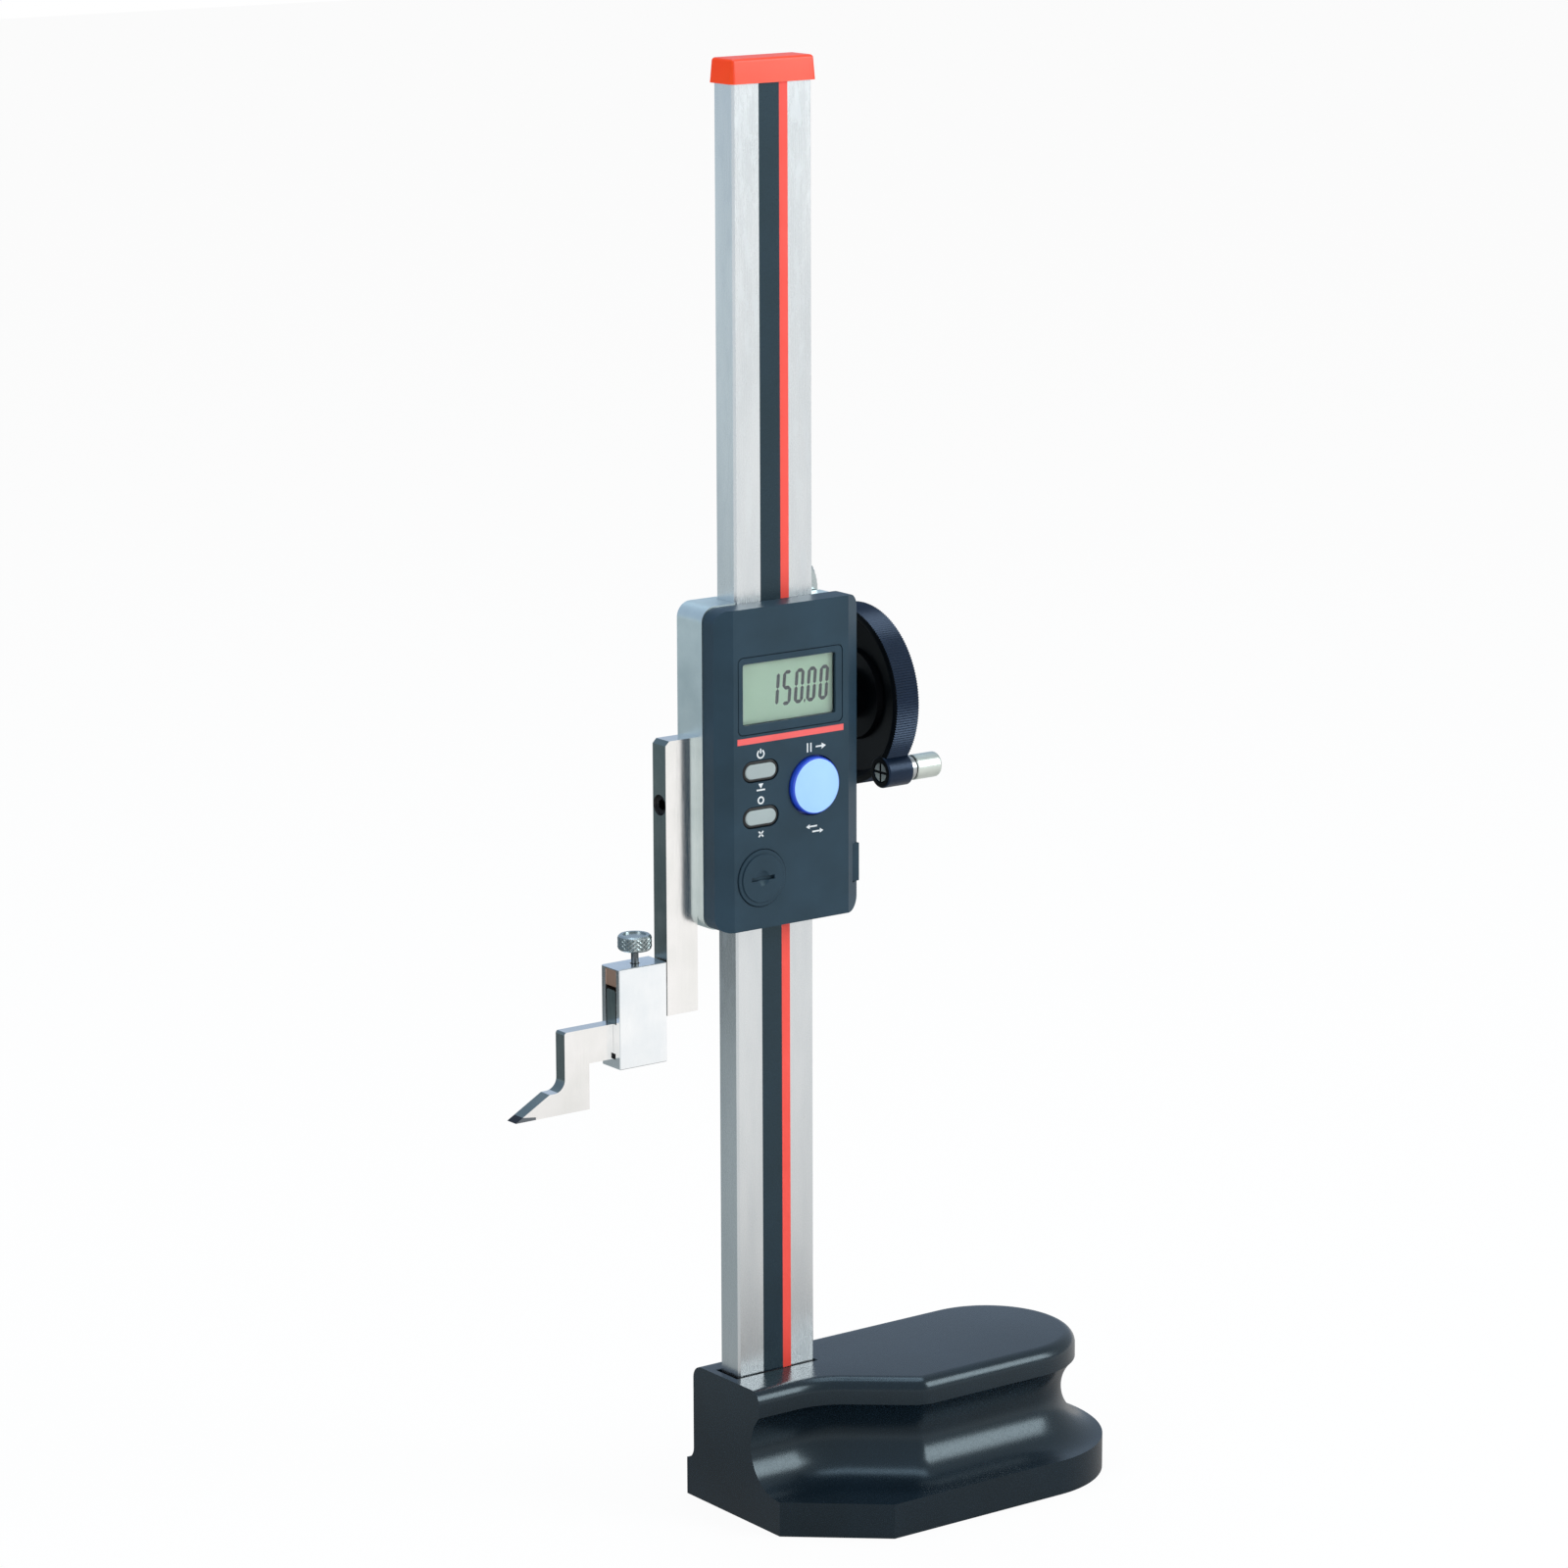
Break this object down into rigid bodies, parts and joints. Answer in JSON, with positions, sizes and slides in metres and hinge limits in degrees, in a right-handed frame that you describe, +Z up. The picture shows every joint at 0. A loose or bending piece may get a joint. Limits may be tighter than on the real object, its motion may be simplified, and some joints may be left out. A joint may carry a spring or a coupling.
{
  "type": "digital height gauge",
  "caption": "Digital height gauge: upright steel column on a gripped cast base, with a geared slider that carries a display and a carbide scriber.",
  "frame": {"origin": "on the base's underside, below the column's centre line", "axes": "+Z up the column, +X towards the handwheel and the base's round end, -Y towards the display"},
  "size_m": [0.2215, 0.102, 0.4913],
  "materials": {
    "base_enamel": "satin black-slate enamel on cast iron",
    "column_steel": "satin ground stainless",
    "cap_orange": "moulded orange-red cap",
    "strip_black": "satin black scale cover",
    "strip_red": "satin red stripe",
    "rack_steel": "cut rack steel",
    "screw_steel": "black oxide",
    "slider_steel": "satin chromed steel",
    "gib_brass": "scraped brass",
    "feed_metal": "dark satin paint",
    "bush_bronze": "sintered bronze",
    "housing_plastic": "charcoal moulded plastic",
    "window_clear": "clear window",
    "lcd_green": "reflective display glass",
    "line_red": "red printed line",
    "board_green": "circuit board",
    "keypad_rubber": "silicone mat",
    "cell_steel": "nickel plated cell",
    "key_blue": "pale blue key",
    "key_grey": "grey rubber key",
    "wheel_black": "black moulded wheel",
    "shaft_steel": "turned steel",
    "knob_silver": "turned handle",
    "knurl_steel": "knurled chromed steel",
    "jaw_steel": "ground hardened steel",
    "clamp_chrome": "satin chrome",
    "nut_bronze": "bronze",
    "carbide": "ground carbide"
  },
  "bodies": {
    "stand": {"base_casting": "base_enamel", "column": "column_steel", "column_cap": "cap_orange", "scale_strip": "strip_black", "scale_stripe": "strip_red", "column_rack": "rack_steel", "rack_screws": "screw_steel", "column_bolts": "screw_steel"},
    "slider": {"slider_frame": "slider_steel", "gib_strip": "gib_brass", "gib_screws": "screw_steel", "feed_housing": "feed_metal", "feed_screws": "screw_steel", "shaft_bushings": "bush_bronze", "display_housing": "housing_plastic", "display_bezel": "housing_plastic", "display_window": "window_clear", "lcd_panel": "lcd_green", "display_stripe": "line_red", "circuit_board": "board_green", "detector_board": "board_green", "keypad": "keypad_rubber", "battery": "cell_steel", "battery_contact": "gib_brass", "housing_screws": "screw_steel", "jaw": "jaw_steel", "jaw_screw": "screw_steel", "jaw_pins": "shaft_steel"},
    "handwheel": {"handwheel": "wheel_black", "pinion_shaft": "shaft_steel", "hub_nut": "shaft_steel", "handle_pin": "shaft_steel"},
    "handle": {"handle_knob": "knob_silver"},
    "lock_knob": {"lock_screw": "knurl_steel"},
    "hold_key": {"hold_button": "key_blue"},
    "on_off_key": {"on_off_button": "key_grey"},
    "zero_key": {"zero_button": "key_grey"},
    "battery_lid": {"battery_cap": "housing_plastic"},
    "socket_cover": {"connector_cover": "housing_plastic"},
    "clamp": {"clamp_frame": "clamp_chrome", "nut_block": "nut_bronze"},
    "clamp_screw": {"thumb_screw": "knurl_steel"},
    "scriber_blade": {"scriber": "jaw_steel", "carbide_tip": "carbide"}
  },
  "joints": [
    {"name": "slider_travel", "type": "slide", "parent": "stand", "child": "slider", "axis": [0, 0, 1], "range_m": [-0.15, 0.15]},
    {"name": "handwheel_turn", "type": "hinge", "parent": "slider", "child": "handwheel", "pos_m": [0.046, 0.01265, 0.2735], "axis": [1, 0, 0], "range_deg": [-1343, 1343]},
    {"name": "handle_spin", "type": "hinge", "parent": "handwheel", "child": "handle", "pos_m": [0.059, -0.00965, 0.2504], "axis": [1, 0, 0], "continuous": true},
    {"name": "lock_turn", "type": "hinge", "parent": "slider", "child": "lock_knob", "pos_m": [0.0142, 0.0126, 0.3114], "axis": [0, 1, 0], "range_deg": [0, 270]},
    {"name": "hold_press", "type": "slide", "parent": "slider", "child": "hold_key", "axis": [0, 1, 0], "range_m": [0, 0.0006], "stiffness_N_per_m": 1500, "springref_m": -0.0003},
    {"name": "on_off_press", "type": "slide", "parent": "slider", "child": "on_off_key", "axis": [0, 1, 0], "range_m": [0, 0.0006], "stiffness_N_per_m": 1200, "springref_m": -0.0003},
    {"name": "zero_press", "type": "slide", "parent": "slider", "child": "zero_key", "axis": [0, 1, 0], "range_m": [0, 0.0006], "stiffness_N_per_m": 1200, "springref_m": -0.0003},
    {"name": "battery_cap_turn", "type": "hinge", "parent": "slider", "child": "battery_lid", "pos_m": [-0.0123, -0.0138, 0.2226], "axis": [0, -1, 0], "range_deg": [0, 60]},
    {"name": "cover_pull", "type": "slide", "parent": "slider", "child": "socket_cover", "axis": [1, 0, 0], "range_m": [0, 0.008]},
    {"name": "clamp_slide", "type": "slide", "parent": "slider", "child": "clamp", "axis": [1, 0, 0], "range_m": [-0.012, 0.0009]},
    {"name": "thumb_turn", "type": "hinge", "parent": "clamp", "child": "clamp_screw", "pos_m": [-0.0523, 0.0018, 0.2], "axis": [0, 0, 1], "range_deg": [0, 360]},
    {"name": "scriber_slide", "type": "slide", "parent": "clamp", "child": "scriber_blade", "axis": [1, 0, 0], "range_m": [-0.012, 0.009]}
  ],
  "couplings": [
    {"joint": "handwheel_turn", "follows": "slider_travel", "rad_per_m": 156.25}
  ]
}
